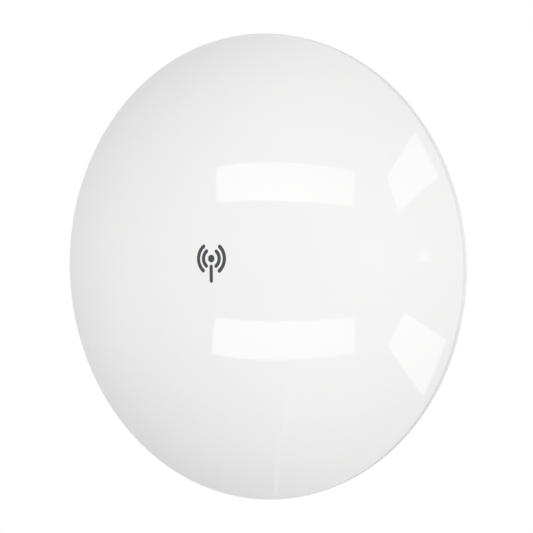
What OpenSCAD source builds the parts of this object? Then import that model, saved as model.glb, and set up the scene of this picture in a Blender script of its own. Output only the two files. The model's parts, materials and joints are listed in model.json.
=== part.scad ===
// Dome-fronted dish antenna with its radio inside, on a ball joint and a pole clamp.
// Origin: on the pole's axis, level with the dish's own axis. +Z is up, and the dome faces -Y.
// "Forward" is the distance in front of the pole's axis, towards -Y.

/* [Dome and dish] */
// Diameter over the dome's rim
dish_d = 189; // [188:0.5:191]
// Height of the dome above its widest circle
dome_rise = 35.6; // [34:0.1:37]
// Radius that rolls the dome over into its skirt
edge_r = 0.7; // [0.5:0.1:1.5]
// Thickness of the dome's wall
dome_wall = 2.4; // [2:0.1:2.4]
// Focal length of the reflector
focal = 60; // [59:0.5:62]

/* [Ball joint] */
// Radius of the ball
ball_r = 13; // [12.9:0.05:13]
// Radius of the ball's neck
neck_r = 6.1; // [5:0.1:6.2]
// Thread pitch of the lock nut
nut_pitch = 3; // [2:0.5:3]

/* [Pole clamp] */
// Radius of the pole that the clamp is closed on
pole_r = 19; // [18.9:0.05:19]
// Height of the bracket along the pole
bracket_h = 60; // [58:1:64]
// Width of the steel strap
strap_w = 12; // [10:0.5:12.5]

/* [Radio] */
// Number of status lights
light_count = 6; // [3:1:6]
// Distance between the lights
light_pitch = 3; // [2.6:0.1:3]

/* [Hidden] */
$fn = 96;

fit = 0.1;                          // running clearance of the ball joint
loose = 0.05;                       // clearance of a screw in its hole
screw_r = 1.5;                      // holes of the pan-head screws
pan_r = 2.7;                        // head of the pan-head screws
pan_h = 1.9;
boss_r = 3.2;                       // bosses that they screw into

// Along the pole clamp, forward of the pole's axis
pad_t = 1.5;
seat_r = pole_r + pad_t;
bracket_front = pole_r + 11.5;
bracket_half_w = 21;
bracket_back = 8.5;
strap_t = 0.7;
strap_corner_r = 3.3;
strap_run = pole_r + 5.6;           // where the strap crosses inside the bracket
plate_t = 3;                        // base plate of the ball stud
plate_half_h = 18;
plate_half_w = 9;
plate_corner_r = 4;
stud_screw_z = 14;
stud_screw_r = 2;
wall_hole_z = 24;
wall_hole_r = 2.4;
worm_x = -23.2;                     // axis of the strap's screw, beside the strap
worm_r = 3;
worm_end = 8.2;
worm_length = 14;
groove_start = -3.8;
groove_pitch = 2.4;
groove_depth = 0.7;
screw_head_r = 4;
screw_head_h = 4.2;
pad_back = 8.8;                     // how far forward the pad's edges stop

// The ball joint
ball = bracket_front + 20.5;        // centre of the ball
shell_in_r = ball_r + fit;          // bearing surface of the cup and the ring
shell_out_r = ball_r + 2;
cup_out_r = shell_out_r + 0.2;
cup_floor = shell_in_r + 2.4;
seat_sphere_r = shell_out_r + fit;
collar_face = ball + cup_floor + fit;   // where the collar bolts to the housing
collar_r = 19.5;
collar_flange_r = 28;
collar_flange_t = 3;
collar_end = ball - 9.5;
slit_w = 1.2;
thread_depth = 0.8;
collar_screw_xz = 17.3;             // the four screws stand at the corners of a square
nut_front = ball + 9;
nut_r = 24;
nut_lip_t = 1.6;
washer_t = 1.2;
washer_in_r = 12.6;
nut_in_r = 13.5;                    // opening of the nut's lip
nut_chamfer = 4.5;
grip_count = 12;                    // flutes around the nut
grip_r = 3.2;
nut_back = collar_end - 2 * fit - washer_t - nut_lip_t - 0.1;

// The dish
dish_r = dish_d / 2;
housing_back = collar_face + 0.9;   // vertex of the housing's outer bowl
housing_wall = 2.5;
bowl_r = 138.5;                     // radius of the housing's outer bowl
bowl_centre = housing_back + bowl_r;
mirror_t = 1;
mirror_vertex = housing_back + 6;
mirror_r = dish_r - 9.5;            // radius of the reflecting surface
mirror_flat_r = 18;
mirror_hole_r = 10;
mirror_rim_r = mirror_r + 2.2;
mirror_steps = 24;
ledge = mirror_vertex + paraboloid(mirror_r) - mirror_t - fit;
rim_top = ledge + 1.7;              // the housing's edge, under the dome's skirt
rim_bead_r = 2.2;
rim_r = dish_r - 2.1;               // kept in from the skirt, which hides it from the front
rim_in_r = dish_r - 7.1;            // the channel for the dome's snap arms
rim_out_r = dish_r - 4.3;
channel_depth = 3.4;
lip_r = dish_r - 2.6;               // the lip that stands up inside the skirt
skirt_h = 2.5;
skirt_end = rim_top + 0.4;
dome_rim = skirt_end + skirt_h;     // the dome's widest circle
apex = dome_rim + dome_rise;
dome_r = (dome_rise * dome_rise + pow(dish_r - edge_r, 2) - edge_r * edge_r)
    / (2 * (dome_rise - edge_r));
dome_centre = apex - dome_r;
roll_angle = asin((dish_r - edge_r) / (dome_r - edge_r));
lip_top = skirt_end + 1.6;
seal_ring_r = dish_r - 3;           // the rim seal lies on the lip
seal_r = 0.5;
seal_f = skirt_end + 0.7;
snap_count = 12;
snap_arc = 6;
snap_in_r = dish_r - 6.3;           // faces of a snap arm
snap_out_r = dish_r - 4.9;
snap_low = rim_top - 2.9;
hook_r = dish_r - 3.8;
hook_top = rim_top - 1.3;
hook_h = 1.2;
clamp_in_r = mirror_r + 0.6;        // the dome's inner ring, which holds the dish down
clamp_out_r = mirror_r + 1.8;

// The feed
focus = mirror_vertex + focal;
feed_flange = mirror_vertex + paraboloid(mirror_flat_r);
feed_flange_t = 3;
feed_screw_xz = 9.9;
tube_foot = feed_flange + feed_flange_t + loose;
tube_r = 9;
head_r = 16;
tube_wall = 1.4;
flare = [focus - 28, focus - 20];   // where the tube widens into the head
tube_end = focus - 3.5;
dipole_f = focus - 14.5;
dipole_board_t = 1.2;
stake_r = 2;                        // the cap's pin that holds the sub-reflector
sub_reflector_r = 20;
coax_r = 0.55;
coax_x = 1.35;
coax_z = -4;
coax_lie = collar_face + 5.75;

// The radio's compartment
bay_half_w = 27.5;
bay_wall = 2.2;
bay_back = collar_face - 14.6;      // outer face of the compartment's rear wall
bay_front = bowl_centre - sphere_at(bowl_r - 1, 70);
bay_top = -28.4;
bay_bottom = -64.5;
bay_corner_r = 6;
bay_inner_w = bay_half_w - bay_wall;
bay_inner = bay_back + bay_wall;    // inner face of the rear wall
shoulder_top = -18;                 // the compartment's shallow upper part, beside the hub
hub_r = 30;
board_back = collar_face + 5.4;
board_t = 1.6;
board_half_w = 23.5;
board_top = -22;
board_bottom = -51;
board_screw_x = 20.5;
board_screw_z = [-25.5, -46.5];
board_screw_r = 1;
board_boss_r = 2.6;
jack_half_w = 8;
jack_h = 13.4;
jack_mouth = -52.4;
jack_depth = 21.3;
jack_cavity = 13;                   // how deep the plug goes in
jack_low = board_back - jack_h;
jack_floor = jack_low + 2;
contact_count = 8;
contact_pitch = 1.02;
light_x = 15;
light_top = -34;
light_r = 1.1;                      // holes of the light pipe's rods
button_x = -14;
button_z = -41;
switch_h = 3.4;
plunger_h = 0.7;
plunger_r = 1.5;
button_travel = 0.6;
button_r = 2.5;
cover_half_w = 17.8;
cover_t = 2;
door_half_w = cover_half_w + 0.2;
tongue_w = 1.5;
cover_top = -52.2;
cover_front = bay_back + 21.8;
cable_f = bay_back + 12.5;
cable_r = 2.9;
vent_z = -45;
vent_f = collar_face - 3;
vent_r = 3;
flange_t = 1.55;                    // outer flanges of the vent plug and the grommet
notch_r = 5;                        // the cover's notch for the grommet

// Height of the reflector's parabola at radius r
function paraboloid(r) = r * r / (4 * focal);
// Height of a sphere's surface above its centre at radius r
function sphere_at(big, r) = sqrt(big * big - r * r);
// Inner bowl of the housing at radius r
function bowl_in(r) = bowl_centre - sphere_at(bowl_r - housing_wall, r);

// Children drawn with local z forward and local y up
module forward() rotate([90, 0, 0]) children();
// Turns a profile of (radius, forward) about the dish's axis
module turned() forward() rotate_extrude() children();
// A box from its limits in x, z and forward
module block(x, z, f)
    translate([x[0], -f[1], z[0]]) cube([x[1] - x[0], f[1] - f[0], z[1] - z[0]]);
// A round bar along the dish's axis, at x and z
module rod(x, z, f, r) translate([x, -f[0], z]) forward() cylinder(r = r, h = f[1] - f[0]);
// A cone along the dish's axis, at x and z
module cone(x, z, f, r)
    translate([x, -f[0], z]) forward() cylinder(r1 = r[0], r2 = r[1], h = f[1] - f[0]);
// A box along the dish's axis with its four long edges rounded
module rounded_block(x, z, f, r) translate([0, -f[0], 0]) forward()
    linear_extrude(f[1] - f[0]) rounded_rect(x, z, r);
module rounded_rect(x, y, r) {
    translate([x[0] + r, y[0]]) square([x[1] - x[0] - 2 * r, y[1] - y[0]]);
    translate([x[0], y[0] + r]) square([x[1] - x[0], y[1] - y[0] - 2 * r]);
    for (cx = [x[0] + r, x[1] - r], cy = [y[0] + r, y[1] - r]) translate([cx, cy]) circle(r);
}
// A ring's cross-section from its limits in radius and forward
module ring(r, f) translate([r[0], f[0]]) square([r[1] - r[0], f[1] - f[0]]);
// Children repeated at the four corners of a square pattern
module four(d) for (x = [-d, d], z = [-d, d]) translate([x, 0, z]) children();

// ---- Dome ----

// Half section of the dome's outside: a cap of a sphere, a rolled edge and a skirt
module dome_outside() {
    reach = 2 * dome_r;
    difference() {
        intersection() {
            translate([0, dome_centre]) circle(dome_r);
            polygon([[0, dome_centre], [0, dome_centre + reach],
                [reach * sin(roll_angle), dome_centre + reach * cos(roll_angle)]]);
        }
        translate([-1, dome_centre - 1]) square([2 * dish_r, dome_rim - dome_centre + 1]);
    }
    translate([dish_r - edge_r, dome_rim]) intersection() {
        circle(edge_r);
        square(2 * edge_r);
    }
    ring([0, dish_r - edge_r], [skirt_end, dome_rim + 0.1]);
    ring([0, dish_r], [skirt_end, dome_rim]);
}

// Half section of the room inside the dome's wall
module dome_room() intersection() {
    translate([0, dome_centre]) circle(dome_r - dome_wall);
    ring([0, dish_r - dome_wall], [skirt_end - 1, apex]);
}

// What is left inside the dome's outer surface
module within_dome() difference() {
    children();
    translate([0, dome_centre]) difference() {
        square(3 * dome_r);
        circle(dome_r - dome_wall / 2);
    }
}

module front_radome() color([0.95, 0.95, 0.94]) {
    turned() {
        difference() {
            dome_outside();
            dome_room();
        }
        within_dome() ring([clamp_in_r, clamp_out_r], [ledge + mirror_t + 2 * fit, apex]);
    }
    // snap arms whose hooks catch under the housing's rim
    for (i = [0 : snap_count - 1]) rotate([0, i * 360 / snap_count, 0])
        forward() rotate_extrude(angle = snap_arc) {
            within_dome() ring([snap_in_r, snap_out_r], [snap_low, apex]);
            polygon([[snap_out_r - 0.1, hook_top - hook_h], [hook_r, hook_top - 0.2],
                [hook_r, hook_top], [snap_out_r - 0.1, hook_top]]);
        }
}

module rim_seal() color([0.15, 0.15, 0.16])
    turned() translate([seal_ring_r, seal_f]) circle(seal_r);

// ---- Housing ----

// The rim's cross-section, with the channel that the dome's snap arms reach into
module rim_section() difference() {
    union() {
        intersection() {
            ring([mirror_r, rim_out_r], [0, rim_top]);
            translate([0, bowl_centre]) circle(bowl_r);
        }
        ring([rim_in_r - 1, rim_r - rim_bead_r], [rim_top - 2 * rim_bead_r, rim_top]);
        ring([rim_in_r - 1, rim_r], [rim_top - rim_bead_r, rim_top]);
        translate([rim_r - rim_bead_r, rim_top - rim_bead_r]) circle(rim_bead_r);
        ring([rim_out_r, lip_r], [rim_top - 0.1, lip_top]);
    }
    ring([rim_in_r, rim_out_r], [rim_top - channel_depth, apex]);
    // grooves of the snap hooks and of the seal
    ring([rim_out_r - 0.1, hook_r + 0.6], [hook_top - hook_h - fit, hook_top + 0.3]);
    ring([seal_ring_r - seal_r - fit, seal_ring_r + seal_r],
        [seal_f - seal_r - loose, seal_f + seal_r + loose]);
    ring([0, rim_in_r], [ledge, apex]);
    intersection() {
        translate([0, bowl_centre]) circle(bowl_r - housing_wall);
        square([mirror_r + 0.1, apex]);
    }
}

module bowl() turned() {
    intersection() {
        difference() {
            translate([0, bowl_centre]) circle(bowl_r);
            translate([0, bowl_centre]) circle(bowl_r - housing_wall);
        }
        square([rim_in_r, rim_top]);
    }
    rim_section();
}

// The compartment's outside: deep below the hub, shallow beside it
module bay() difference() {
    union() {
        rounded_block([-bay_half_w, bay_half_w], [bay_bottom, bay_top],
            [bay_back, bay_front], bay_corner_r);
        rounded_block([-bay_half_w, bay_half_w], [bay_bottom, shoulder_top],
            [collar_face, bay_front], bay_corner_r);
    }
    translate([0, -bowl_centre, 0]) sphere(bowl_r - housing_wall);
}

// The compartment's inside, with its doorway and its openings to the outside
module bay_inside() {
    inner_top = bay_top - bay_wall;
    through = [bay_back - 1, bay_inner + 1];
    below = [bay_bottom - 1, bay_bottom + bay_wall + 0.1];
    slot_w = cover_half_w + tongue_w + 0.4;
    block([-bay_inner_w, bay_inner_w], [inner_top - 1, board_top + 0.5], [bowl_in(0), bowl_centre]);
    rounded_block([-bay_inner_w, bay_inner_w], [bay_bottom + bay_wall, inner_top],
        [bay_inner, bowl_centre], bay_corner_r - bay_wall);
    // doorway of the cover, and the slots that its tongues slide through
    block([-door_half_w, door_half_w], [bay_bottom - 1, cover_top + 0.2], through);
    block([-door_half_w, door_half_w], below, [bay_back - 1, cover_front + 0.2]);
    block([-slot_w, slot_w], below, [bay_inner, bay_inner + 1.6]);
    rod(button_x, button_z, through, button_r + 0.2);
    for (i = [0 : light_count - 1])
        rod(light_x, light_top - i * light_pitch, through, light_r);
    translate([-bay_half_w - 1, -vent_f, vent_z]) rotate([0, 90, 0])
        cylinder(r = vent_r + fit, h = 2 * bay_wall + 1.6);
}

module rear_housing() color([0.93, 0.93, 0.92]) {
    difference() {
        union() {
            bowl();
            rod(0, 0, [collar_face, bowl_in(0) + 0.5], hub_r);
            bay();
        }
        bay_inside();
        four(feed_screw_xz) rod(0, 0, [collar_face + 1.5, bowl_in(0) + 2], screw_r);
        four(collar_screw_xz) rod(0, 0, [collar_face - 1, bowl_in(0) + 2], screw_r);
    }
    // bosses for the feed's, the collar's and the board's screws
    four(feed_screw_xz) boss([bowl_in(0) + 0.2, feed_flange - mirror_t - fit], boss_r, screw_r);
    four(collar_screw_xz) boss([bowl_in(0) + 0.2, bowl_in(0) + 3], boss_r, screw_r);
    for (x = [-board_screw_x, board_screw_x]) {
        translate([x, 0, board_screw_z[0]])
            boss([bowl_in(0) - 0.5, board_back - fit], board_boss_r, board_screw_r + loose);
        translate([x, 0, board_screw_z[1]])
            boss([bay_inner - 0.5, board_back - fit], board_boss_r, board_screw_r + loose);
    }
}

// A hollow screw boss
module boss(f, r, hole_r) difference() {
    rod(0, 0, f, r);
    rod(0, 0, [f[0] - 1, f[1] + 1], hole_r);
}

// ---- Reflector and feed ----

module reflector_dish() color([0.80, 0.81, 0.82]) difference() {
    turned() polygon(concat(
        [[mirror_hole_r, feed_flange]],
        [for (i = [0 : mirror_steps])
            let (r = mirror_flat_r + i * (mirror_r - mirror_flat_r) / mirror_steps)
            [r, mirror_vertex + paraboloid(r)]],
        [[mirror_rim_r, mirror_vertex + paraboloid(mirror_r)],
            [mirror_rim_r, mirror_vertex + paraboloid(mirror_r) - mirror_t]],
        [for (i = [mirror_steps : -1 : 0])
            let (r = mirror_flat_r + i * (mirror_r - mirror_flat_r) / mirror_steps)
            [r, mirror_vertex + paraboloid(r) - mirror_t]],
        [[mirror_hole_r, feed_flange - mirror_t]]));
    four(feed_screw_xz) rod(0, 0, [feed_flange - 2, feed_flange + 2], screw_r + 0.3);
}

module feed_base() color([0.90, 0.90, 0.89]) difference() {
    foot_end = feed_flange - 1.8;
    sleeve_in_r = 6.2;
    sleeve_out_r = tube_r - tube_wall - loose;
    sleeve_h = 10;
    turned() {
        ring([sleeve_out_r - 0.15, mirror_flat_r - 0.4],
            [feed_flange + loose, feed_flange + feed_flange_t]);
        ring([sleeve_in_r + 0.8, mirror_hole_r - 0.4], [foot_end, feed_flange + loose]);
        ring([sleeve_in_r, sleeve_out_r], [foot_end, feed_flange + sleeve_h]);
    }
    four(feed_screw_xz) rod(0, 0, [feed_flange - 3, tube_foot + 1], screw_r + 0.2);
}

module feed_screws() color([0.70, 0.71, 0.73]) four(feed_screw_xz)
    pan_screw(feed_flange + feed_flange_t, -1, feed_flange + feed_flange_t - bowl_in(0));

// A cross-recessed pan-head screw along the dish's axis, its head's seat at f and its shank going dir
module pan_screw(f, dir, length) difference() {
    union() {
        rod(0, 0, dir < 0 ? [f - length, f + 0.1] : [f - 0.1, f + length], screw_r - loose);
        rod(0, 0, dir < 0 ? [f, f + pan_h] : [f - pan_h, f], pan_r);
    }
    translate([0, dir < 0 ? -f - pan_h : -f + pan_h, 0]) cross_recess(1.1 * pan_r, 1.8, 0.7);
}

// Two crossed slots that a screwdriver fits
module cross_recess(length, depth, width) for (a = [0, 90]) rotate([0, a, 0])
    cube([length, depth, width], center = true);

module feed_tube() color([0.88, 0.88, 0.86]) turned() polygon([
    [tube_r - tube_wall, tube_foot], [tube_r, tube_foot], [tube_r, flare[0]],
    [head_r, flare[1]], [head_r, tube_end], [head_r - tube_wall, tube_end],
    [head_r - tube_wall, flare[1] - 0.4], [tube_r - tube_wall, flare[0] - 0.4]]);

module feed_board() color([0.05, 0.33, 0.20])
    block([-0.6, 0.6], [-6, 6], [feed_flange - 2.4, dipole_f - 0.1]);

module dipole_board() color([0.06, 0.36, 0.22])
    rod(0, 0, [dipole_f, dipole_f + dipole_board_t], head_r - tube_wall - 0.2);

module dipole_cross() color([0.80, 0.52, 0.25]) for (a = [45, -45]) {
    face = dipole_f + dipole_board_t;
    rotate([0, a, 0]) block([-12.8, 12.8], [-1.6, 1.6], [face + loose, face + 0.4]);
}

module feed_cap() color([0.88, 0.88, 0.86]) turned() {
    plug_r = head_r - tube_wall;
    ring([0, head_r], [tube_end + loose, focus - 0.1]);
    ring([plug_r - 1.6, plug_r - loose], [tube_end - 3, tube_end + 0.2]);
    ring([0, stake_r], [focus - 0.2, focus + 1.6]);
}

module sub_reflector() color([0.80, 0.81, 0.82])
    turned() ring([stake_r + loose, sub_reflector_r], [focus, focus + 0.8]);

module coax_jumpers() color([0.12, 0.12, 0.13]) for (x = [-coax_x, coax_x]) {
    translate([x, -coax_lie, board_top + 0.1]) cylinder(r = coax_r, h = -board_top - 0.1 + coax_z);
    translate([x, -coax_lie, coax_z]) sphere(coax_r);
    rod(x, coax_z, [coax_lie, feed_flange + 1], coax_r);
}

// ---- Radio ----

module main_board() color([0.05, 0.33, 0.20]) difference() {
    block([-board_half_w, board_half_w], [board_bottom, board_top], [board_back, board_back + board_t]);
    for (x = [-board_screw_x, board_screw_x], z = board_screw_z)
        rod(x, z, [board_back - 1, board_back + board_t + 1], board_screw_r + 0.3);
}

module board_screws() color([0.70, 0.71, 0.73])
    for (x = [-board_screw_x, board_screw_x], z = board_screw_z) {
        face = board_back + board_t;
        rod(x, z, [face + loose, face + 0.6], 2 * board_screw_r);
        rod(x, z, [board_back - 1.8, face + 0.2], board_screw_r);
    }

module rf_shield() color([0.75, 0.76, 0.77])
    block([-12, 12], [-30, board_top - 0.8], [board_back - 1.7, board_back - loose]);

module ethernet_jack() color([0.76, 0.77, 0.78]) difference() {
    latch_half_w = 3.2;
    cavity = [jack_mouth - 1, jack_mouth + jack_cavity];
    block([-jack_half_w, jack_half_w], [jack_mouth, jack_mouth + jack_depth],
        [jack_low, board_back - loose]);
    block([-5.9, 5.9], cavity, [jack_floor, jack_floor + 8.2]);
    block([-latch_half_w, latch_half_w], cavity, [jack_floor + 8, jack_floor + 9.8]);
}

module jack_contacts() color([0.85, 0.66, 0.25])
    for (i = [0 : contact_count - 1]) translate([(i - (contact_count - 1) / 2) * contact_pitch, 0, 0])
        block([-0.2, 0.2], [jack_mouth + 4, jack_mouth + jack_cavity - 0.1],
            [jack_floor + loose, jack_floor + 0.7]);

module line_transformer() color([0.10, 0.10, 0.11])
    block([-22, -10], [-36.4, -32], [board_back - 5, board_back - loose]);

module capacitors() color([0.16, 0.17, 0.20]) {
    rod(-14, -47.3, [board_back - 9, board_back - loose], 2.8);
    rod(20.3, -37, [board_back - 8, board_back - loose], 2.6);
}

module status_lights() color([0.35, 0.85, 0.45])
    for (i = [0 : light_count - 1]) translate([light_x, 0, light_top - i * light_pitch])
        block([-0.8, 0.8], [-0.5, 0.5], [board_back - 0.75, board_back - loose]);

module light_pipe() color([0.90, 0.95, 1.00, 0.5]) {
    for (i = [0 : light_count - 1])
        rod(light_x, light_top - i * light_pitch, [bay_back + 0.1, board_back - 1.2], light_r - loose);
    block([light_x - 1.2, light_x + 1.2], [light_top - (light_count - 1) * light_pitch, light_top],
        [bay_back + 8, bay_back + 9.5]);
}

module reset_switch() color([0.12, 0.12, 0.13]) {
    top = board_back - switch_h;
    translate([button_x, 0, button_z]) block([-3, 3], [-3, 3], [top, board_back - loose]);
    rod(button_x, button_z, [top - plunger_h, top + 0.1], plunger_r);
}

module reset_button() color([0.35, 0.36, 0.38]) {
    rest = board_back - switch_h - plunger_h - fit - button_travel;
    rod(button_x, button_z, [bay_back - button_travel, bay_inner + 0.5], button_r);
    rod(button_x, button_z, [bay_inner + fit, bay_inner + 1], button_r + 0.9);
    rod(button_x, button_z, [bay_inner + 0.5, rest], plunger_r);
}

module vent_plug() color([0.25, 0.26, 0.28]) translate([0, -vent_f, vent_z]) rotate([0, 90, 0]) {
    translate([0, 0, -bay_half_w - flange_t - loose]) cylinder(r = 4.8, h = flange_t);
    translate([0, 0, -bay_half_w - 0.2]) cylinder(r = vent_r, h = 3.6);
}

module port_cover() color([0.93, 0.93, 0.92]) difference() {
    union() {
        block([-cover_half_w, cover_half_w], [bay_bottom, cover_top], [bay_back, bay_back + cover_t]);
        block([-cover_half_w, cover_half_w], [bay_bottom, bay_bottom + cover_t], [bay_back, cover_front]);
        // tongues that slide behind the housing's rear wall
        block([-cover_half_w - tongue_w, cover_half_w + tongue_w], [bay_bottom + 2.4, cover_top - 0.5],
            [bay_inner + 0.15, bay_inner + 1.3]);
        block([-cover_half_w, cover_half_w], [bay_bottom + 1, cover_top - 0.5],
            [bay_back + 1, bay_inner + 1]);
    }
    // notch for the cable's grommet
    translate([0, -cable_f, bay_bottom - 1]) cylinder(r = notch_r, h = cover_t + 2);
    block([-notch_r, notch_r], [bay_bottom - 1, bay_bottom + cover_t + 1], [cable_f, cover_front + 1]);
    // finger grip in the rear face
    for (i = [0 : 3]) translate([0, 0, cover_top - 3 - i * 2.2])
        block([-10, 10], [0, 1], [bay_back - 1, bay_back + 0.5]);
}

module cable_grommet() color([0.16, 0.16, 0.17]) difference() {
    body_r = notch_r - loose;
    flange_r = notch_r + 1.4;
    union() {
        translate([0, -cable_f, bay_bottom - flange_t - loose]) cylinder(r = flange_r, h = flange_t);
        translate([0, -cable_f, bay_bottom - 0.2]) cylinder(r = body_r, h = cover_t + 0.4);
        translate([0, -cable_f, bay_bottom + cover_t + loose]) cylinder(r = flange_r, h = 1.2);
        block([-body_r, body_r], [bay_bottom, bay_bottom + cover_t], [cable_f, cover_front - 0.1]);
    }
    translate([0, -cable_f, bay_bottom - 3]) cylinder(r = cable_r, h = 12);
}

// ---- Ball joint ----

module socket_collar() color([0.30, 0.31, 0.33]) difference() {
    turned() difference() {
        polygon([[0, collar_face - fit / 2], [collar_flange_r, collar_face - fit / 2],
            [collar_flange_r, collar_face - collar_flange_t], [collar_r, collar_face - collar_flange_t],
            [collar_r, ball - 6], [collar_r - 2, collar_end], [0, collar_end]]);
        ring([0, cup_out_r + fit], [ball, collar_face + 1]);
        translate([0, ball]) circle(seat_sphere_r);
        // grooves of the lock nut's thread
        for (f = [ball - 5 : nut_pitch : collar_face - collar_flange_t - nut_pitch / 2])
            ring([collar_r - thread_depth, collar_r + 1], [f, f + nut_pitch / 2]);
    }
    // slits that let the collar's fingers close on the ball
    for (a = [0, 60, 120]) rotate([0, a, 0])
        block([-collar_r - 1, collar_r + 1], [-slit_w / 2, slit_w / 2], [collar_end - 1, ball + 4]);
    four(collar_screw_xz) rod(0, 0, [collar_face - 5, collar_face + 1], screw_r + 0.2);
}

module collar_screws() color([0.70, 0.71, 0.73]) four(collar_screw_xz)
    pan_screw(collar_face - collar_flange_t - loose, 1, 8);

module ball_cup() color([0.85, 0.84, 0.80]) turned() difference() {
    ring([0, cup_out_r], [ball + 3, ball + cup_floor]);
    translate([0, ball]) circle(shell_in_r);
}

module ball_ring() color([0.85, 0.84, 0.80]) turned() intersection() {
    translate([0, ball]) difference() {
        circle(shell_out_r);
        circle(shell_in_r);
    }
    ring([0, shell_out_r + 1], [ball - 8, ball - 1.5]);
}

module thrust_washer() color([0.75, 0.76, 0.77]) turned()
    ring([washer_in_r, collar_r - 0.2], [collar_end - fit - washer_t, collar_end - fit]);

module lock_nut() color([0.30, 0.31, 0.33]) difference() {
    turned() difference() {
        polygon([[nut_in_r, nut_back], [nut_r - nut_chamfer, nut_back], [nut_r, nut_back + nut_chamfer],
            [nut_r, nut_front - 1], [nut_r - 1, nut_front], [nut_in_r, nut_front]]);
        ring([0, collar_r + fit], [nut_back + nut_lip_t, nut_front + 1]);
    }
    for (i = [0 : grip_count - 1]) rotate([0, i * 360 / grip_count, 0])
        rod(nut_r + 2, 0, [nut_back - 1, nut_front + 1], grip_r);
}

module ball_stud() color([0.30, 0.31, 0.33]) difference() {
    union() {
        rounded_block([-plate_half_w, plate_half_w], [-plate_half_h, plate_half_h],
            [bracket_front - plate_t, bracket_front], plate_corner_r);
        cone(0, 0, [bracket_front - 0.1, bracket_front + 2.6], [plate_half_w - 0.2, neck_r]);
        rod(0, 0, [bracket_front, ball], neck_r);
        translate([0, -ball, 0]) sphere(ball_r);
    }
    for (z = [-stud_screw_z, stud_screw_z]) {
        rod(0, z, [bracket_front - plate_t - 1, bracket_front + 1], stud_screw_r + 0.1);
        cone(0, z, [bracket_front - 2.1, bracket_front + 0.1],
            [stud_screw_r + 0.1, 2 * stud_screw_r + 0.3]);
    }
}

module stud_screws() color([0.70, 0.71, 0.73]) for (z = [-stud_screw_z, stud_screw_z]) difference() {
    union() {
        rod(0, z, [bracket_front - 8.2, bracket_front - 1], stud_screw_r - loose);
        cone(0, z, [bracket_front - 2, bracket_front - loose], [stud_screw_r - loose, 2 * stud_screw_r]);
    }
    translate([0, -bracket_front, z]) cross_recess(4.4, 2.4, 0.9);
}

// ---- Pole clamp ----

module pole_bracket() color([0.93, 0.93, 0.92]) difference() {
    translate([0, 0, -bracket_h / 2]) linear_extrude(bracket_h) difference() {
        rounded_rect([-bracket_half_w, bracket_half_w], [-bracket_front, -bracket_back], 2);
        circle(seat_r);
    }
    // pocket and screw holes of the ball stud's plate
    rounded_block([-plate_half_w - fit, plate_half_w + fit], [-plate_half_h - fit, plate_half_h + fit],
        [bracket_front - plate_t - loose, bracket_front + 1], plate_corner_r + fit);
    for (z = [-stud_screw_z, stud_screw_z])
        rod(0, z, [seat_r - 4, bracket_front], stud_screw_r);
    // way of the strap: through the web, then around the wings
    way = [-strap_w / 2 - 1, strap_w / 2 + 1];
    way_front = strap_run + strap_t + 0.7;
    block([-bracket_half_w - 1, bracket_half_w + 1], way, [strap_run - 0.3, way_front]);
    for (side = [-1, 1]) {
        translate([side * (pole_r + 1.6), 0, 0]) block([-2, 2], way, [0, strap_run + 1]);
        translate([side * (pole_r + 0.4), 0, 0])
            block([-4.2, 3], way, [strap_run - strap_corner_r - 0.5, way_front]);
    }
    // countersunk holes for screwing the bracket to a wall
    for (z = [-wall_hole_z, wall_hole_z])
        rod(0, z, [seat_r - 4, bracket_front + 1], wall_hole_r);
}

module saddle_pad() color([0.15, 0.15, 0.16])
    translate([0, 0, -plate_half_h]) linear_extrude(2 * plate_half_h) intersection() {
        difference() {
            circle(seat_r - loose);
            circle(pole_r);
        }
        translate([-bracket_half_w, -bracket_front])
            square([2 * bracket_half_w, bracket_front - pad_back]);
    }

// The strap's outline, grown by t from its inner face
module strap_loop(t) {
    corner_x = pole_r - strap_corner_r;
    corner_y = -(strap_run - strap_corner_r);
    difference() {
        circle(pole_r + t);
        translate([-2 * pole_r, -4 * pole_r]) square(4 * pole_r);
    }
    translate([-pole_r - t, corner_y]) square([2 * (pole_r + t), -corner_y]);
    translate([-corner_x, -strap_run - t]) square([2 * corner_x, strap_corner_r + t]);
    for (side = [-1, 1]) translate([side * corner_x, corner_y]) circle(strap_corner_r + t);
}

module strap_band() color([0.72, 0.73, 0.75]) difference() {
    translate([0, 0, -strap_w / 2]) linear_extrude(strap_w) difference() {
        strap_loop(strap_t);
        strap_loop(0);
    }
    // slots that the worm's thread engages
    slot_end = strap_w / 2 - 2.2;
    for (a = [112 : 6 : 160]) rotate([0, 0, a]) translate([pole_r - 1, 0, 0]) rotate([8, 0, 0])
        translate([0, -0.5, -slot_end]) cube([3, 1, 2 * slot_end]);
}

// A round bar beside the pole, from y = high down by h
module worm_bar(high, h, r) translate([worm_x, high, 0]) rotate([90, 0, 0]) cylinder(r = r, h = h);

module strap_housing() color([0.72, 0.73, 0.75]) {
    base_x = -pole_r - strap_t - loose;     // face that lies on the strap
    high = worm_end - 0.2;
    outer_r = worm_r + 1.2;
    difference() {
        union() {
            worm_bar(high, worm_length, outer_r);
            translate([worm_x, high - worm_length, -outer_r])
                cube([base_x - worm_x, worm_length, 2 * outer_r]);
            translate([base_x - 0.8, high - worm_length, -strap_w / 2])
                cube([0.8, worm_length, strap_w]);
        }
        worm_bar(high + 1, worm_length + 2, worm_r + fit);
        translate([base_x, -2 * pole_r, -strap_w]) cube([worm_r + 2, 4 * pole_r, 2 * strap_w]);
    }
}

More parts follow.
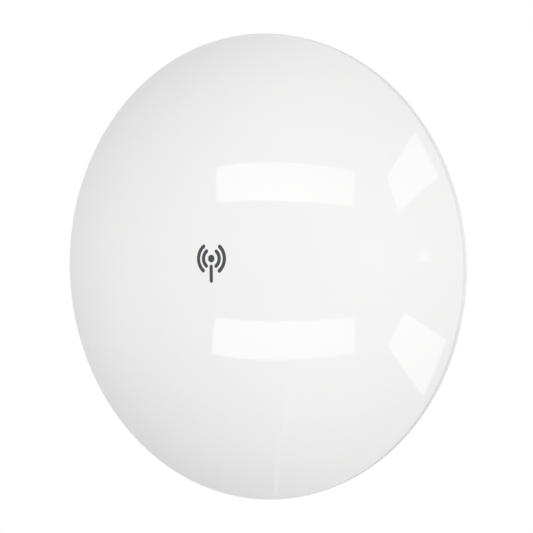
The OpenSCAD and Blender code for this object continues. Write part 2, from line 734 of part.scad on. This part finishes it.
module strap_screw() color([0.66, 0.67, 0.70]) difference() {
    high = worm_end + screw_head_h - 0.1;
    union() {
        worm_bar(worm_end, worm_length, worm_r);
        translate([worm_x, high, 0]) rotate([90, 0, 0])
            cylinder(r = screw_head_r, h = screw_head_h, $fn = 6);
    }
    // the worm's grooves, and the slot in its head
    for (i = [0 : 4]) difference() {
        top = groove_start + i * groove_pitch;
        worm_bar(top, 1, worm_r + 1);
        worm_bar(top + 1, 3, worm_r - groove_depth);
    }
    translate([worm_x, high, 0]) cube([9, 2.4, 1.1], center = true);
}

front_radome();
rim_seal();
rear_housing();
reflector_dish();
feed_base();
feed_screws();
feed_tube();
feed_board();
dipole_board();
dipole_cross();
feed_cap();
sub_reflector();
coax_jumpers();
main_board();
board_screws();
rf_shield();
ethernet_jack();
jack_contacts();
line_transformer();
capacitors();
status_lights();
light_pipe();
reset_switch();
reset_button();
vent_plug();
port_cover();
cable_grommet();
socket_collar();
collar_screws();
ball_cup();
ball_ring();
thrust_washer();
lock_nut();
ball_stud();
stud_screws();
pole_bracket();
saddle_pad();
strap_band();
strap_housing();
strap_screw();
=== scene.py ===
import json
import math

import bmesh
import bpy
from mathutils import Matrix, Vector

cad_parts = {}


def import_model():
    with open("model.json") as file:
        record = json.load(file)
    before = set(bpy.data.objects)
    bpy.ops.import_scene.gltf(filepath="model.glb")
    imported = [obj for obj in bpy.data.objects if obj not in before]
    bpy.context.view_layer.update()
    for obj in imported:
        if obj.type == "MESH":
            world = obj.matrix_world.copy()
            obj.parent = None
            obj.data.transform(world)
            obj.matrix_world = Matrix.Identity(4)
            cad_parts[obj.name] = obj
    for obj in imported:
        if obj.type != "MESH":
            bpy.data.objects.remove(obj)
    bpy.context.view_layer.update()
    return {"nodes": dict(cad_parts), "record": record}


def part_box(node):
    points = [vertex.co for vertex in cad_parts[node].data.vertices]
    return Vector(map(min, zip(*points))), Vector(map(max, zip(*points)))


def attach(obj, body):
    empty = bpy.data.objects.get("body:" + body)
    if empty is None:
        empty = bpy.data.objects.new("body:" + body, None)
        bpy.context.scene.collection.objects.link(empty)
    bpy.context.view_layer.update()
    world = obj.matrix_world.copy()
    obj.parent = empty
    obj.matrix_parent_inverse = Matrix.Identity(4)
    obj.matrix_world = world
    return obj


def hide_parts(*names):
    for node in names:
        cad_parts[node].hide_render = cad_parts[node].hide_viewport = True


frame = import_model()

MM = 0.001


# ---------------------------------------------------------------- sizes from the frame


dome_low, dome_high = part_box("front_radome")
DOME_APEX = -dome_low.y                 # forward distance of the dome's foremost point
DISH_R = dome_high.x
DOME_RISE = 35.6 * MM                   # from the widest circle to the foremost point
DOME_RIM = DOME_APEX - DOME_RISE        # forward distance of the dome's widest circle
EDGE_R = 0.7 * MM                       # radius that rolls the dome over into its skirt
SKIRT_H = 2.5 * MM
SKIRT_BEVEL = 0.3 * MM                  # size of the broken edges at the skirt's end
SKIRT_INSET = 0.1 * MM                  # inset of the outer one's middle point, which makes it round
DOME_WALL = 2.4 * MM
PRINT_T = 0.05 * MM                     # how far the printed mark stands on the dome

# The sphere that the dome is a cap of, tangent to the rolled edge
SPHERE_R = (DOME_RISE**2 + (DISH_R - EDGE_R) ** 2 - EDGE_R**2) / (2 * (DOME_RISE - EDGE_R))
SPHERE_CENTRE = DOME_APEX - SPHERE_R
ROLL_ANGLE = math.asin((DISH_R - EDGE_R) / (SPHERE_R - EDGE_R))


# ---------------------------------------------------------------- meshes

ON_AXIS = 0.0001 * MM                   # a smaller radius is a point on the axis


def linked(name, data):
    """A new object in the scene."""
    obj = bpy.data.objects.new(name, data)
    bpy.context.scene.collection.objects.link(obj)
    return obj


def new_piece(name, mesh, body, material):
    """A piece of the antenna that rides on a body and takes its finish from a material slot."""
    obj = linked(name, mesh)
    mesh.materials.append(material)
    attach(obj, body)
    return obj


def mesh_of(bm, name):
    """The bmesh as a mesh, and the bmesh freed."""
    mesh = bpy.data.meshes.new(name)
    bm.to_mesh(mesh)
    bm.free()
    return mesh


def smooth(mesh, angle):
    """Smooth shading that keeps edges sharper than the angle, in degrees."""
    mesh.shade_smooth()
    mesh.set_sharp_from_angle(angle=math.radians(angle))


def lathe(name, profile, segments):
    """A closed profile of (radius, forward) points turned about the dish's axis."""
    bm = bmesh.new()
    rings = []
    for radius, forward in profile:
        if radius < ON_AXIS:
            rings.append([bm.verts.new((0, -forward, 0))])
            continue
        turns = (2 * math.pi * k / segments for k in range(segments))
        rings.append([bm.verts.new((radius * math.cos(t), -forward, radius * math.sin(t))) for t in turns])
    for a, b in zip(rings, rings[1:] + rings[:1]):
        if len(a) == 1 and len(b) == 1:
            continue
        for k in range(segments):
            n = (k + 1) % segments
            corners = [a[k % len(a)], a[n % len(a)], b[n % len(b)], b[k % len(b)]]
            bm.faces.new(list(dict.fromkeys(corners)))
    bmesh.ops.recalc_face_normals(bm, faces=bm.faces)
    return mesh_of(bm, name)


def arc(centre, radius, start, end, steps):
    """Points (radius, forward) on an arc; angles are measured from the dish's axis, in radians."""
    turns = (start + (end - start) * k / steps for k in range(steps + 1))
    return [(centre[0] + radius * math.sin(t), centre[1] + radius * math.cos(t)) for t in turns]


# ---------------------------------------------------------------- materials


class Nodes:
    """Short names for building one material's nodes."""

    def __init__(self, name):
        self.material = bpy.data.materials.new(name)
        self.material.use_nodes = True
        self.tree = self.material.node_tree
        self.shader = self.tree.nodes["Principled BSDF"]
        self.place = self.add("ShaderNodeTexCoord").outputs["Object"]

    def add(self, kind, **settings):
        node = self.tree.nodes.new(kind)
        for key, value in settings.items():
            setattr(node, key, value)
        return node

    def link(self, source, target):
        self.tree.links.new(source, target)

    def set(self, **values):
        for key, value in values.items():
            self.shader.inputs[key.replace("_", " ")].default_value = value

    def noise(self, scale, detail=3):
        """Noise with scale features per metre."""
        noise = self.add("ShaderNodeTexNoise")
        noise.inputs["Scale"].default_value = scale
        noise.inputs["Detail"].default_value = detail
        self.link(self.place, noise.inputs["Vector"])
        return noise.outputs["Fac"]

    def between(self, value, low, high, target):
        """Maps a 0..1 value to low..high on a socket."""
        spread = self.add("ShaderNodeMapRange")
        spread.inputs["To Min"].default_value = low
        spread.inputs["To Max"].default_value = high
        self.link(value, spread.inputs["Value"])
        self.link(spread.outputs["Result"], target)

    def colours(self, value, first, second):
        """Base colour from first to second as the value goes from 0.3 to 0.7."""
        ramp = self.add("ShaderNodeValToRGB")
        ramp.color_ramp.elements[0].position = 0.3
        ramp.color_ramp.elements[0].color = (*first, 1)
        ramp.color_ramp.elements[1].position = 0.7
        ramp.color_ramp.elements[1].color = (*second, 1)
        self.link(value, ramp.inputs["Fac"])
        self.link(ramp.outputs["Color"], self.shader.inputs["Base Color"])

    def bump(self, value, strength, height):
        bump = self.add("ShaderNodeBump")
        bump.inputs["Strength"].default_value = strength
        bump.inputs["Distance"].default_value = height
        self.link(value, bump.inputs["Height"])
        self.link(bump.outputs["Normal"], self.shader.inputs["Normal"])


def gloss_white():
    """Glossy white weatherproof plastic, with the faint unevenness of a moulding."""
    n = Nodes("gloss_white")
    n.set(IOR=1.5)
    n.colours(n.noise(25), (0.823, 0.8215, 0.819), (0.833, 0.8315, 0.829))
    n.between(n.noise(300), 0.02, 0.04, n.shader.inputs["Roughness"])
    n.bump(n.noise(60, detail=1), 0.02, 0.02 * MM)
    return n.material


def shade(colour, factor):
    """The colour made darker or lighter."""
    return tuple(min(c * factor, 1) for c in colour)


def moulded(name, colour, rough, grain=0.03 * MM, spread=0.06):
    """Moulded plastic or rubber: fine grain, and slight differences of colour and gloss."""
    n = Nodes(name)
    n.colours(n.noise(120), shade(colour, 1 - spread), shade(colour, 1 + spread))
    n.between(n.noise(700), rough - 0.06, rough + 0.06, n.shader.inputs["Roughness"])
    n.bump(n.noise(2500, detail=2), 0.35, grain)
    return n.material


def metal(name, colour, rough):
    """Bare or plated metal, faintly cloudy and uneven."""
    n = Nodes(name)
    n.set(Metallic=1.0)
    n.colours(n.noise(150), shade(colour, 0.96), colour)
    n.between(n.noise(300), rough - 0.05, rough + 0.05, n.shader.inputs["Roughness"])
    n.bump(n.noise(600, detail=1), 0.03, 0.001 * MM)
    return n.material


def clear_plastic():
    """Frosted clear plastic, which lets some light through and scatters the rest."""
    n = Nodes("clear_plastic")
    n.set(IOR=1.49, Transmission_Weight=0.35)
    n.colours(n.noise(400), (0.56, 0.60, 0.62), (0.62, 0.66, 0.68))
    n.between(n.noise(900), 0.2, 0.32, n.shader.inputs["Roughness"])
    return n.material


def lamp_lens():
    """Frosted lens of a small status lamp."""
    n = Nodes("lamp_lens")
    n.colours(n.noise(2000), (0.5, 0.8, 0.55), (0.62, 0.9, 0.66))
    n.between(n.noise(3000), 0.2, 0.35, n.shader.inputs["Roughness"])
    return n.material


def circuit_board():
    """Green solder mask, a little darker where copper lies under it."""
    n = Nodes("circuit_board")
    n.colours(n.noise(450, detail=1), (0.008, 0.11, 0.05), (0.015, 0.19, 0.09))
    n.between(n.noise(1200), 0.25, 0.4, n.shader.inputs["Roughness"])
    n.bump(n.noise(450, detail=1), 0.3, 0.03 * MM)
    return n.material


def print_ink(name, colour):
    """Satin screen-printing ink."""
    n = Nodes(name)
    n.colours(n.noise(900), shade(colour, 0.9), colour)
    n.between(n.noise(1500), 0.35, 0.5, n.shader.inputs["Roughness"])
    return n.material


# ---------------------------------------------------------------- dome

DOME_SEGMENTS = 360
CAP_STEPS = 72                          # steps from the dome's tip to its edge
ROLL_STEPS = 10                         # steps round the rolled edge
DOME_SHARP = 50                         # edges sharper than this, in degrees, show as edges


def dome():
    """The whole dome as one closed shell: outside, rolled edge, skirt and inside."""
    centre = (0, SPHERE_CENTRE - PRINT_T)
    outside = arc(centre, SPHERE_R, 0, ROLL_ANGLE, CAP_STEPS)
    edge = arc((DISH_R - EDGE_R, DOME_RIM), EDGE_R, ROLL_ANGLE, math.pi / 2, ROLL_STEPS)[1:]
    skirt_end = DOME_RIM - SKIRT_H
    skirt = [
        (DISH_R, skirt_end + SKIRT_BEVEL),
        (DISH_R - SKIRT_INSET, skirt_end + SKIRT_INSET),
        (DISH_R - SKIRT_BEVEL, skirt_end),
        (DISH_R - DOME_WALL + SKIRT_BEVEL, skirt_end),
        (DISH_R - DOME_WALL, skirt_end + SKIRT_BEVEL),
    ]
    inner_angle = math.asin((DISH_R - DOME_WALL) / (SPHERE_R - DOME_WALL))
    inside = arc(centre, SPHERE_R - DOME_WALL, inner_angle, 0, CAP_STEPS)
    mesh = lathe("dome_shell", outside + edge + skirt + inside, DOME_SEGMENTS)
    smooth(mesh, DOME_SHARP)
    obj = new_piece("dome_shell", mesh, "antenna", gloss_white())
    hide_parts("front_radome")
    return obj


# ---------------------------------------------------------------- printed mark

MARK_Z = 4.0 * MM                       # height of the mark's dot above the dish's axis
STROKE = 0.75 * MM                      # half width of its strokes
MARK_ARCS = (3.7 * MM, 6.1 * MM)        # radii of the arcs on each side of the dot
MARK_SPAN = math.radians(104)           # angle that each arc spans
DOT_R = 1.5 * MM
DOT_LENGTH = 0.01 * MM                  # the dot is a stroke too short to look long
MAST_TOP = 3.15 * MM                    # the mast's ends, below the dot's centre
MAST_END = 8.85 * MM
INK = (0.055, 0.058, 0.064)
STROKE_STEPS = 24
STROKE_ROUND_STEPS = 6                  # rows of points in each round end
END_ROW = 0.3                           # the outermost row's place in the first of those steps
ACROSS = (-1, -0.5, 0, 0.5, 1)          # points across a stroke, in half widths
MARK_SHARP = 40                         # edges sharper than this, in degrees, show as edges


def stroke(path, length, half):
    """Rows of (x, z) across a round-ended stroke; path(s) gives a point and its crosswise direction."""
    turns = (math.pi / 2 * (k + END_ROW) / STROKE_ROUND_STEPS for k in range(STROKE_ROUND_STEPS))
    ends = [half * math.cos(t) for t in turns]
    places = [-e for e in ends] + [length * k / STROKE_STEPS for k in range(STROKE_STEPS + 1)]
    places += [length + e for e in reversed(ends)]
    rows = []
    for s in places:
        beyond = max(-s, s - length, 0)
        width = math.sqrt(half**2 - beyond**2)
        point, cross = path(s)
        rows.append([point + cross * width * t for t in ACROSS])
    return rows


def arc_stroke(radius, middle):
    """An arc about the dot; middle is the direction of its middle, in radians from +X towards +Z."""
    start = middle - MARK_SPAN / 2

    def path(s):
        out = Vector((math.cos(start + s / radius), math.sin(start + s / radius)))
        return Vector((0, MARK_Z)) + out * radius, out

    return stroke(path, MARK_SPAN * radius, STROKE)


def straight_stroke(top, length, half):
    """A stroke that goes straight down from a height on the dish's axis."""
    return stroke(lambda s: (Vector((0, top - s)), Vector((1, 0))), length, half)


def printed(name, strokes):
    """Ink that follows the dome: each stroke is a thin closed sheet."""
    bm = bmesh.new()

    def point(x, z, radius):
        return bm.verts.new((x, -SPHERE_CENTRE - math.sqrt(radius**2 - x * x - z * z), z))

    def layer(rows, radius):
        return [[point(x, z, radius) for x, z in row] for row in rows]

    for rows in strokes:
        top = layer(rows, SPHERE_R)
        base = layer(rows, SPHERE_R - 2 * PRINT_T)
        rims = []
        for sheet in (top, base):
            for a, b in zip(sheet, sheet[1:]):
                for k in range(len(a) - 1):
                    bm.faces.new((a[k], a[k + 1], b[k + 1], b[k]))
            left = [row[0] for row in sheet]
            right = [row[-1] for row in reversed(sheet)]
            rims.append(left + sheet[-1][1:-1] + right + sheet[0][-2:0:-1])
        for k in range(len(rims[0])):
            bm.faces.new((rims[0][k - 1], rims[0][k], rims[1][k], rims[1][k - 1]))
    bmesh.ops.recalc_face_normals(bm, faces=bm.faces)
    mesh = mesh_of(bm, name)
    smooth(mesh, MARK_SHARP)
    new_piece(name, mesh, "antenna", print_ink("ink", INK))


def mark():
    """A plain signal sign in one colour: a dot on a mast between two pairs of arcs."""
    strokes = [arc_stroke(radius, middle) for radius in MARK_ARCS for middle in (0, math.pi)]
    strokes.append(straight_stroke(MARK_Z, DOT_LENGTH, DOT_R))
    strokes.append(straight_stroke(MARK_Z - MAST_TOP, MAST_END - MAST_TOP, STROKE))
    printed("signal_mark", strokes)


# ---------------------------------------------------------------- CAD nodes

WHITE = (0.71, 0.712, 0.706)
DARK = (0.055, 0.058, 0.064)


def materials():
    """A material for every slot of the record."""
    return {
        "white_plastic": moulded("satin_white", WHITE, 0.24, spread=0.012),
        "natural_plastic": moulded("natural_plastic", (0.70, 0.68, 0.60), 0.38),
        "grey_plastic": moulded("dark_plastic", DARK, 0.42),
        "black_plastic": moulded("black_plastic", (0.018, 0.018, 0.02), 0.4),
        "clear_plastic": clear_plastic(),
        "light_lens": lamp_lens(),
        "black_rubber": moulded("black_rubber", (0.02, 0.02, 0.021), 0.7, 0.05 * MM),
        "grey_rubber": moulded("grey_rubber", (0.09, 0.093, 0.1), 0.65, 0.05 * MM),
        "aluminium": metal("aluminium", (0.82, 0.825, 0.83), 0.3),
        "steel": metal("steel", (0.66, 0.67, 0.69), 0.27),
        "tinned_steel": metal("tinned_steel", (0.74, 0.74, 0.73), 0.36),
        "gold": metal("gold", (0.94, 0.7, 0.3), 0.22),
        "copper": metal("copper", (0.86, 0.48, 0.3), 0.3),
        "circuit_board": circuit_board(),
    }


WELD_REACH = 0.002 * MM
BEVEL_SEGMENTS = 3
BEVEL_ANGLE = math.radians(32)          # sharper edges than this are rounded

# Edge radius in millimetres of each node whose edges show; the others keep their plain edges
EDGE = {
    "rear_housing": 0.8, "port_cover": 0.35, "vent_plug": 0.4, "cable_grommet": 0.3, "reset_button": 0.4,
    "light_pipe": 0.15, "socket_collar": 0.4, "collar_screws": 0.15, "lock_nut": 0.5, "thrust_washer": 0.15,
    "ball_stud": 0.4, "stud_screws": 0.12, "pole_bracket": 0.8, "saddle_pad": 0.3,
    "strap_band": 0.12, "strap_housing": 0.2, "strap_screw": 0.2,
}


def finish_node(name, material):
    """A CAD node's material, and a rounded edge where the edge shows."""
    obj = frame["nodes"][name]
    obj.data.materials.clear()
    obj.data.materials.append(material)
    if name not in EDGE:
        return
    weld = obj.modifiers.new("weld", "WELD")
    weld.merge_threshold = WELD_REACH
    bevel = obj.modifiers.new("edges", "BEVEL")
    bevel.width = EDGE[name] * MM
    bevel.segments = BEVEL_SEGMENTS
    bevel.limit_method = "ANGLE"
    bevel.angle_limit = BEVEL_ANGLE
    normals = obj.modifiers.new("normals", "WEIGHTED_NORMAL")
    normals.keep_sharp = True


def finish_nodes():
    """Every CAD node's finish, from the record's material slots."""
    table = materials()
    for part in frame["record"]["subparts"]:
        finish_node(part["node"], table[part["material_slot"]])


# ---------------------------------------------------------------- studio

CAMERA_AZIMUTH = 32.3
CAMERA_ELEVATION = 1.4
CAMERA_DISTANCE = 1.2511
CAMERA_LENS = 208.2
CAMERA_SENSOR = 36
CAMERA_ASIDE = 2.98 * MM                # the rim's centre is this far left of the view's middle
CAMERA_RAISED = 0.14 * MM               # and this far below it
FLOOR_Z = -0.25
FLOOR_R = 0.9
FLOOR_SEGMENTS = 128
FLOOR_FADE = (0.25, 0.97)               # where the floor starts and ends fading, in floor radii
SOFTBOX_DISTANCE = 3.0

# Glowing panels around the dome: radiance, then the corners' azimuths and elevations in degrees
SOFTBOXES = {
    "upper_box": (2.55, (-38.5, 27.5), (17, 31.5), (17.5, 19.5), (-33.5, 17.5)),
    "lower_box": (2.7, (-33, -15.5), (18, -17), (17.5, -29), (-39, -25.5)),
    "upper_side_box": (2.95, (41, 45), (48, 29), (33, 18), (29, 29.5)),
    "lower_side_box": (3.1, (35, -15.5), (50, -24), (44.5, -44), (29.5, -26.5)),
    "rear_box": (7, (-148, 60), (-112, 56), (-116, 34), (-148, 34)),
    "small_lamp": (3.2, (40, 3.7), (42.9, 3.7), (42.9, 1.1), (39.9, 1.1)),
    "stand_upper": (1.7, (-6.5, -32.7), (-23.3, -51.1), (-21.8, -51.4), (-5.5, -32.7)),
    "stand_lower": (1.25, (-23.3, -51.1), (-77.1, -63.1), (-76.1, -64), (-21.8, -51.4)),
}

# Broad soft lobes of the room's light: azimuth, elevation, radiance at the middle
ROOM_LOBES = (
    (-2, 55, 1.05),                     # ceiling in front
    (5, -49, 1.0),                      # low front
    (45, 5, 1.24),                      # behind the camera
    (146, 3, 1.66),                     # window side
    (-82, 0, 0.8),                      # far side
    (-152, 0, 0.9),                     # behind the antenna
)
ROOM_BASE = 0.05                        # radiance between the lobes
LOBE_POWER = 4                          # how fast a lobe falls off from its middle


def direction(azimuth, elevation):
    """Unit vector; azimuth 0 is -Y, in front of the dome, and 90 is +X. Degrees."""
    a = math.radians(azimuth)
    e = math.radians(elevation)
    return Vector((math.sin(a) * math.cos(e), -math.cos(a) * math.cos(e), math.sin(e)))


def camera():
    """A long lens at the height of the dish, to the dome's right."""
    data = bpy.data.cameras.new("camera")
    data.lens = CAMERA_LENS
    data.sensor_width = CAMERA_SENSOR
    obj = linked("camera", data)
    rim = Vector((0, -DOME_RIM, 0))
    place = rim + direction(CAMERA_AZIMUTH, CAMERA_ELEVATION) * CAMERA_DISTANCE
    target = rim + direction(CAMERA_AZIMUTH + 90, 0) * CAMERA_ASIDE + Vector((0, 0, CAMERA_RAISED))
    turn = (target - place).to_track_quat("-Z", "Y").to_matrix().to_4x4()
    obj.matrix_world = Matrix.Translation(place) @ turn
    bpy.context.scene.camera = obj


def emission(name, radiance):
    """A plain glowing material."""
    material = bpy.data.materials.new(name)
    material.use_nodes = True
    tree = material.node_tree
    tree.nodes.remove(tree.nodes["Principled BSDF"])
    glow = tree.nodes.new("ShaderNodeEmission")
    glow.inputs["Strength"].default_value = radiance
    tree.links.new(glow.outputs["Emission"], tree.nodes["Material Output"].inputs["Surface"])
    return material


def softbox(name, radiance, corners):
    """A glowing four-sided panel, seen in reflections but not by the camera itself."""
    front = Vector((0, -DOME_RIM, 0))
    points = [front + direction(*corner) * SOFTBOX_DISTANCE for corner in corners]
    mesh = bpy.data.meshes.new(name)
    mesh.from_pydata(points, [], [range(len(points))])
    mesh.materials.append(emission(name, radiance))
    obj = linked(name, mesh)
    obj.visible_camera = False
    return obj


def spare(panel, piece):
    """Keeps a panel's light off one piece, and the panel out of that piece's reflections."""
    receivers = bpy.data.collections.new("not_lit_by_" + panel.name)
    receivers.objects.link(piece)
    panel.light_linking.receiver_collection = receivers
    receivers.collection_objects[0].light_linking.link_state = "EXCLUDE"


def floor_material():
    """Pale and matt, fading to plain white outwards; seen from below it is clear."""
    n = Nodes("floor")
    n.set(Roughness=0.6)
    n.colours(n.noise(8), (0.88, 0.88, 0.88), (0.9, 0.9, 0.9))
    glow = n.add("ShaderNodeEmission")
    length = n.add("ShaderNodeVectorMath", operation="LENGTH")
    n.link(n.place, length.inputs[0])
    fade = n.add("ShaderNodeMapRange", interpolation_type="SMOOTHSTEP")
    fade.inputs["From Min"].default_value = FLOOR_FADE[0] * FLOOR_R
    fade.inputs["From Max"].default_value = FLOOR_FADE[1] * FLOOR_R
    n.link(length.outputs["Value"], fade.inputs["Value"])
    mix = n.add("ShaderNodeMixShader")
    n.link(fade.outputs["Result"], mix.inputs["Fac"])
    n.link(n.shader.outputs["BSDF"], mix.inputs[1])
    n.link(glow.outputs["Emission"], mix.inputs[2])
    below = n.add("ShaderNodeMixShader")
    n.link(n.add("ShaderNodeNewGeometry").outputs["Backfacing"], below.inputs["Fac"])
    n.link(mix.outputs["Shader"], below.inputs[1])
    n.link(n.add("ShaderNodeBsdfTransparent").outputs["BSDF"], below.inputs[2])
    n.link(below.outputs["Shader"], n.tree.nodes["Material Output"].inputs["Surface"])
    return n.material


def floor():
    """A pale floor, which adds no light or shade to the antenna."""
    bm = bmesh.new()
    bmesh.ops.create_circle(bm, cap_ends=True, radius=FLOOR_R, segments=FLOOR_SEGMENTS)
    mesh = mesh_of(bm, "floor")
    mesh.materials.append(floor_material())
    obj = linked("floor", mesh)
    obj.location = (0, -DOME_RIM / 2, FLOOR_Z)
    obj.visible_diffuse = False
    obj.visible_glossy = False
    obj.visible_shadow = False


def world():
    """White to the camera; to everything else a room lit by a few broad, soft lobes."""
    studio = bpy.data.worlds.new("studio")
    bpy.context.scene.world = studio
    studio.use_nodes = True
    tree = studio.node_tree

    def math_node(operation, first, second):
        node = tree.nodes.new("ShaderNodeMath")
        node.operation = operation
        for value, socket in zip((first, second), node.inputs):
            if isinstance(value, (int, float)):
                socket.default_value = value
            else:
                tree.links.new(value, socket)
        return node.outputs["Value"]

    place = tree.nodes.new("ShaderNodeTexCoord").outputs["Generated"]
    total = ROOM_BASE
    for azimuth, elevation, radiance in ROOM_LOBES:
        facing = tree.nodes.new("ShaderNodeVectorMath")
        facing.operation = "DOT_PRODUCT"
        tree.links.new(place, facing.inputs[0])
        facing.inputs[1].default_value = direction(azimuth, elevation)
        lit = math_node("MAXIMUM", facing.outputs["Value"], 0.0)
        lobe = math_node("POWER", lit, float(LOBE_POWER))
        total = math_node("ADD", math_node("MULTIPLY", lobe, float(radiance)), total)
    seen = tree.nodes["Background"]
    seen.inputs["Color"].default_value = (1, 1, 1, 1)
    room = tree.nodes.new("ShaderNodeBackground")
    room.inputs["Color"].default_value = (1, 1, 1, 1)
    tree.links.new(total, room.inputs["Strength"])
    mix = tree.nodes.new("ShaderNodeMixShader")
    tree.links.new(tree.nodes.new("ShaderNodeLightPath").outputs["Is Camera Ray"], mix.inputs["Fac"])
    tree.links.new(room.outputs["Background"], mix.inputs[1])
    tree.links.new(seen.outputs["Background"], mix.inputs[2])
    tree.links.new(mix.outputs["Shader"], tree.nodes["World Output"].inputs["Surface"])
    bpy.context.scene.view_settings.view_transform = "Standard"


finish_nodes()
shell = dome()
mark()
camera()
panels = {name: softbox(name, glow, corners) for name, (glow, *corners) in SOFTBOXES.items()}
spare(panels["rear_box"], shell)
floor()
world()
